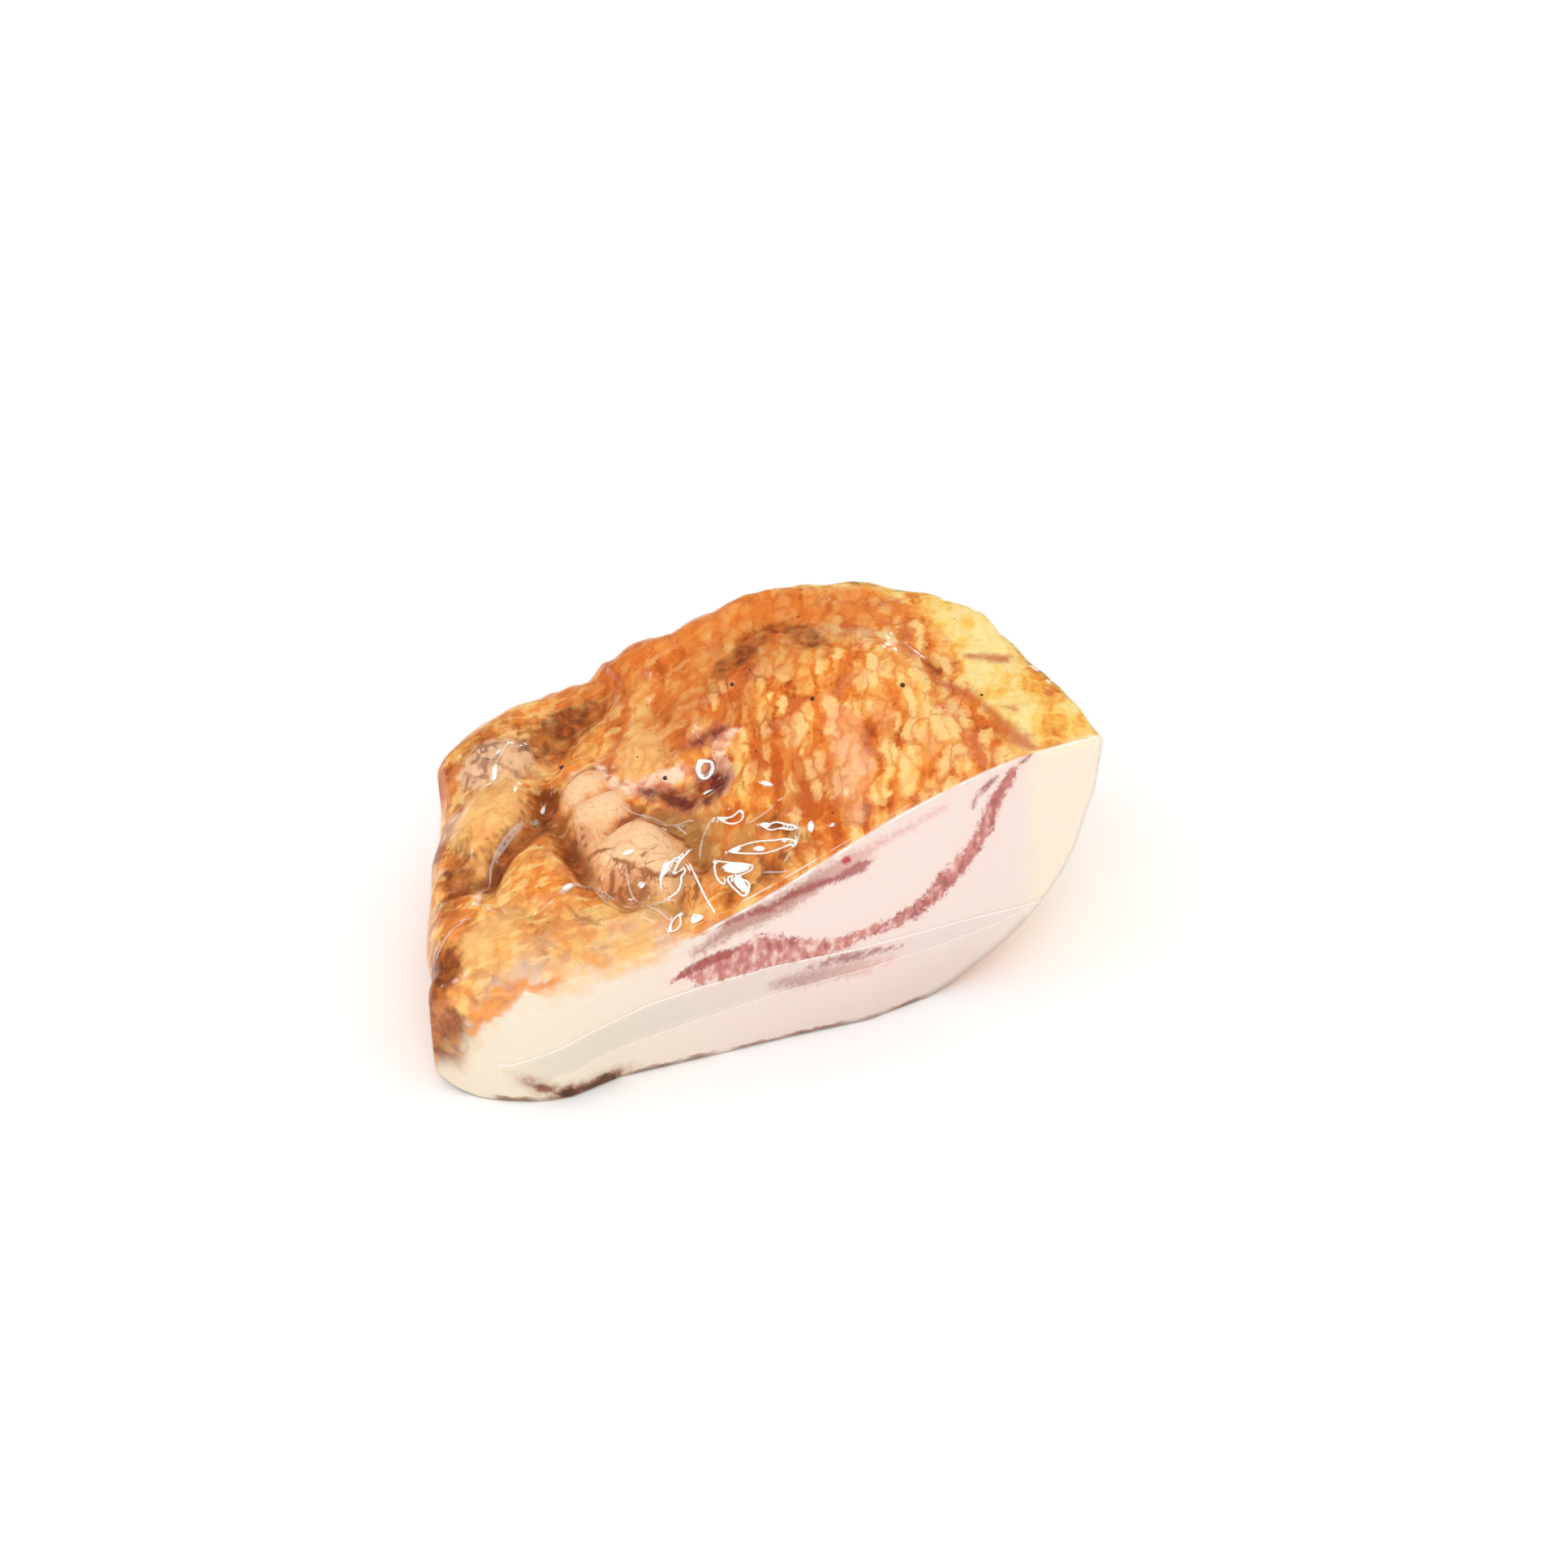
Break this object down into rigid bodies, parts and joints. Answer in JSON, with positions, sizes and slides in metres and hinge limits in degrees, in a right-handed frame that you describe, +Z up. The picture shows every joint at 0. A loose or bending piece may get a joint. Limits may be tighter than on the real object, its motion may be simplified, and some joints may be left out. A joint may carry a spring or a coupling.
{
  "type": "guanciale piece in clear film",
  "caption": "Wedge-shaped piece of cured pork jowl in tight clear film, lobed on top with one flat cut side, to lie on its rind or be sliced for cooking.",
  "frame": {"origin": "on the floor under the middle of the piece", "axes": "+X along the cut from the thin end to the thick end, +Y from the cut to the far side, +Z up from the rind to the lobed side"},
  "size_m": [0.1708, 0.1092, 0.0729],
  "materials": {
    "cured_fat": "soft amber fat with a thin browned crust",
    "clear_film": "thin clear film, glossy, drawn tight"
  },
  "bodies": {
    "root": {"guanciale_in_film": "cured_fat"}
  },
  "joints": []
}
